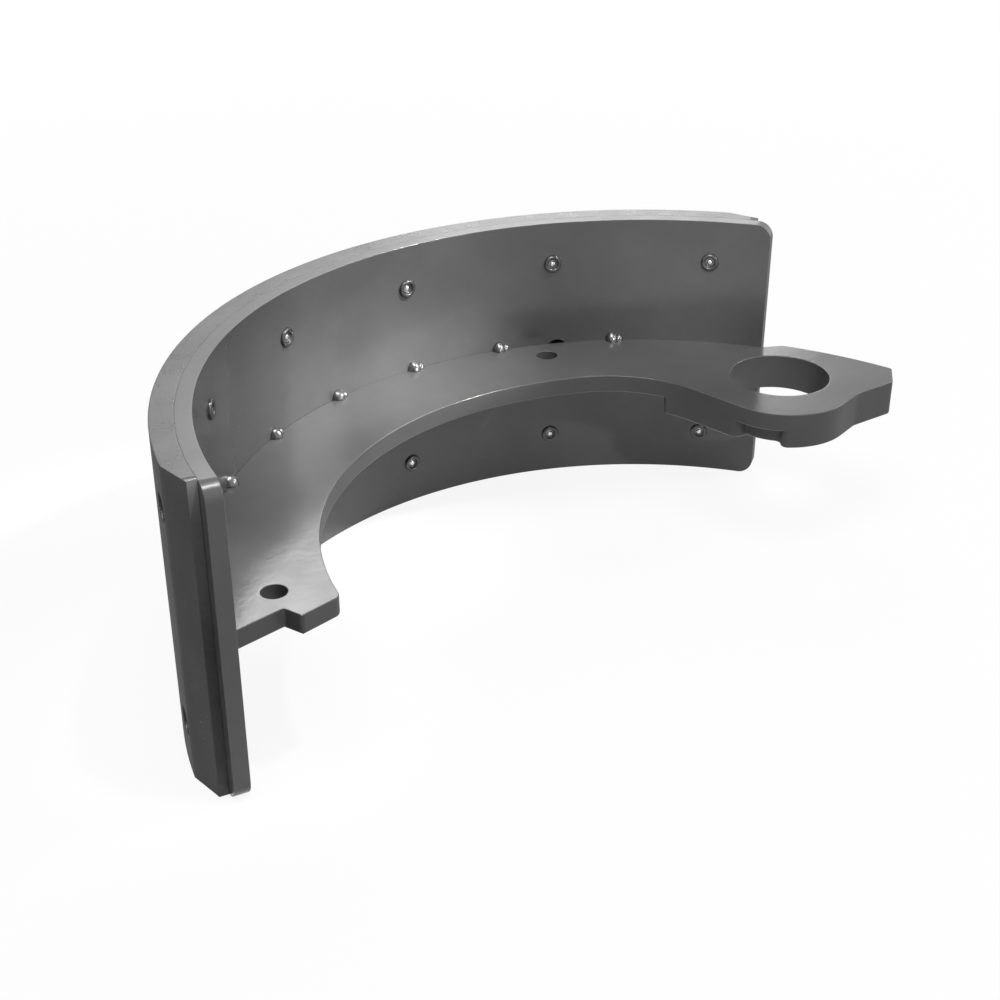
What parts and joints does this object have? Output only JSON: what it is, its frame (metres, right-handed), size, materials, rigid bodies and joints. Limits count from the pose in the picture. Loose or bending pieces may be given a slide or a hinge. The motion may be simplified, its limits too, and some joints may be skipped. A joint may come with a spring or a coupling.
{
  "type": "brake shoe",
  "caption": "Curved drum-brake shoe with a riveted friction lining, a welded web, an anchor eye and a flat foot.",
  "frame": {"origin": "on the drum's axis, at the middle of the shoe's width", "axes": "+Z along the drum's axis, +Y through the middle of the table's arc, the anchor eye towards +X"},
  "size_m": [0.3513, 0.1938, 0.1264],
  "materials": {
    "painted_steel": "satin paint",
    "weld": "painted over, rough",
    "friction_material": "ground composite friction material, painted over at the sides",
    "rivet_steel": "plated, clinched"
  },
  "bodies": {
    "root": {"table": "painted_steel", "web": "painted_steel", "doubler": "painted_steel", "weld_beads": "weld", "lining": "friction_material", "rivets": "rivet_steel"}
  },
  "joints": []
}
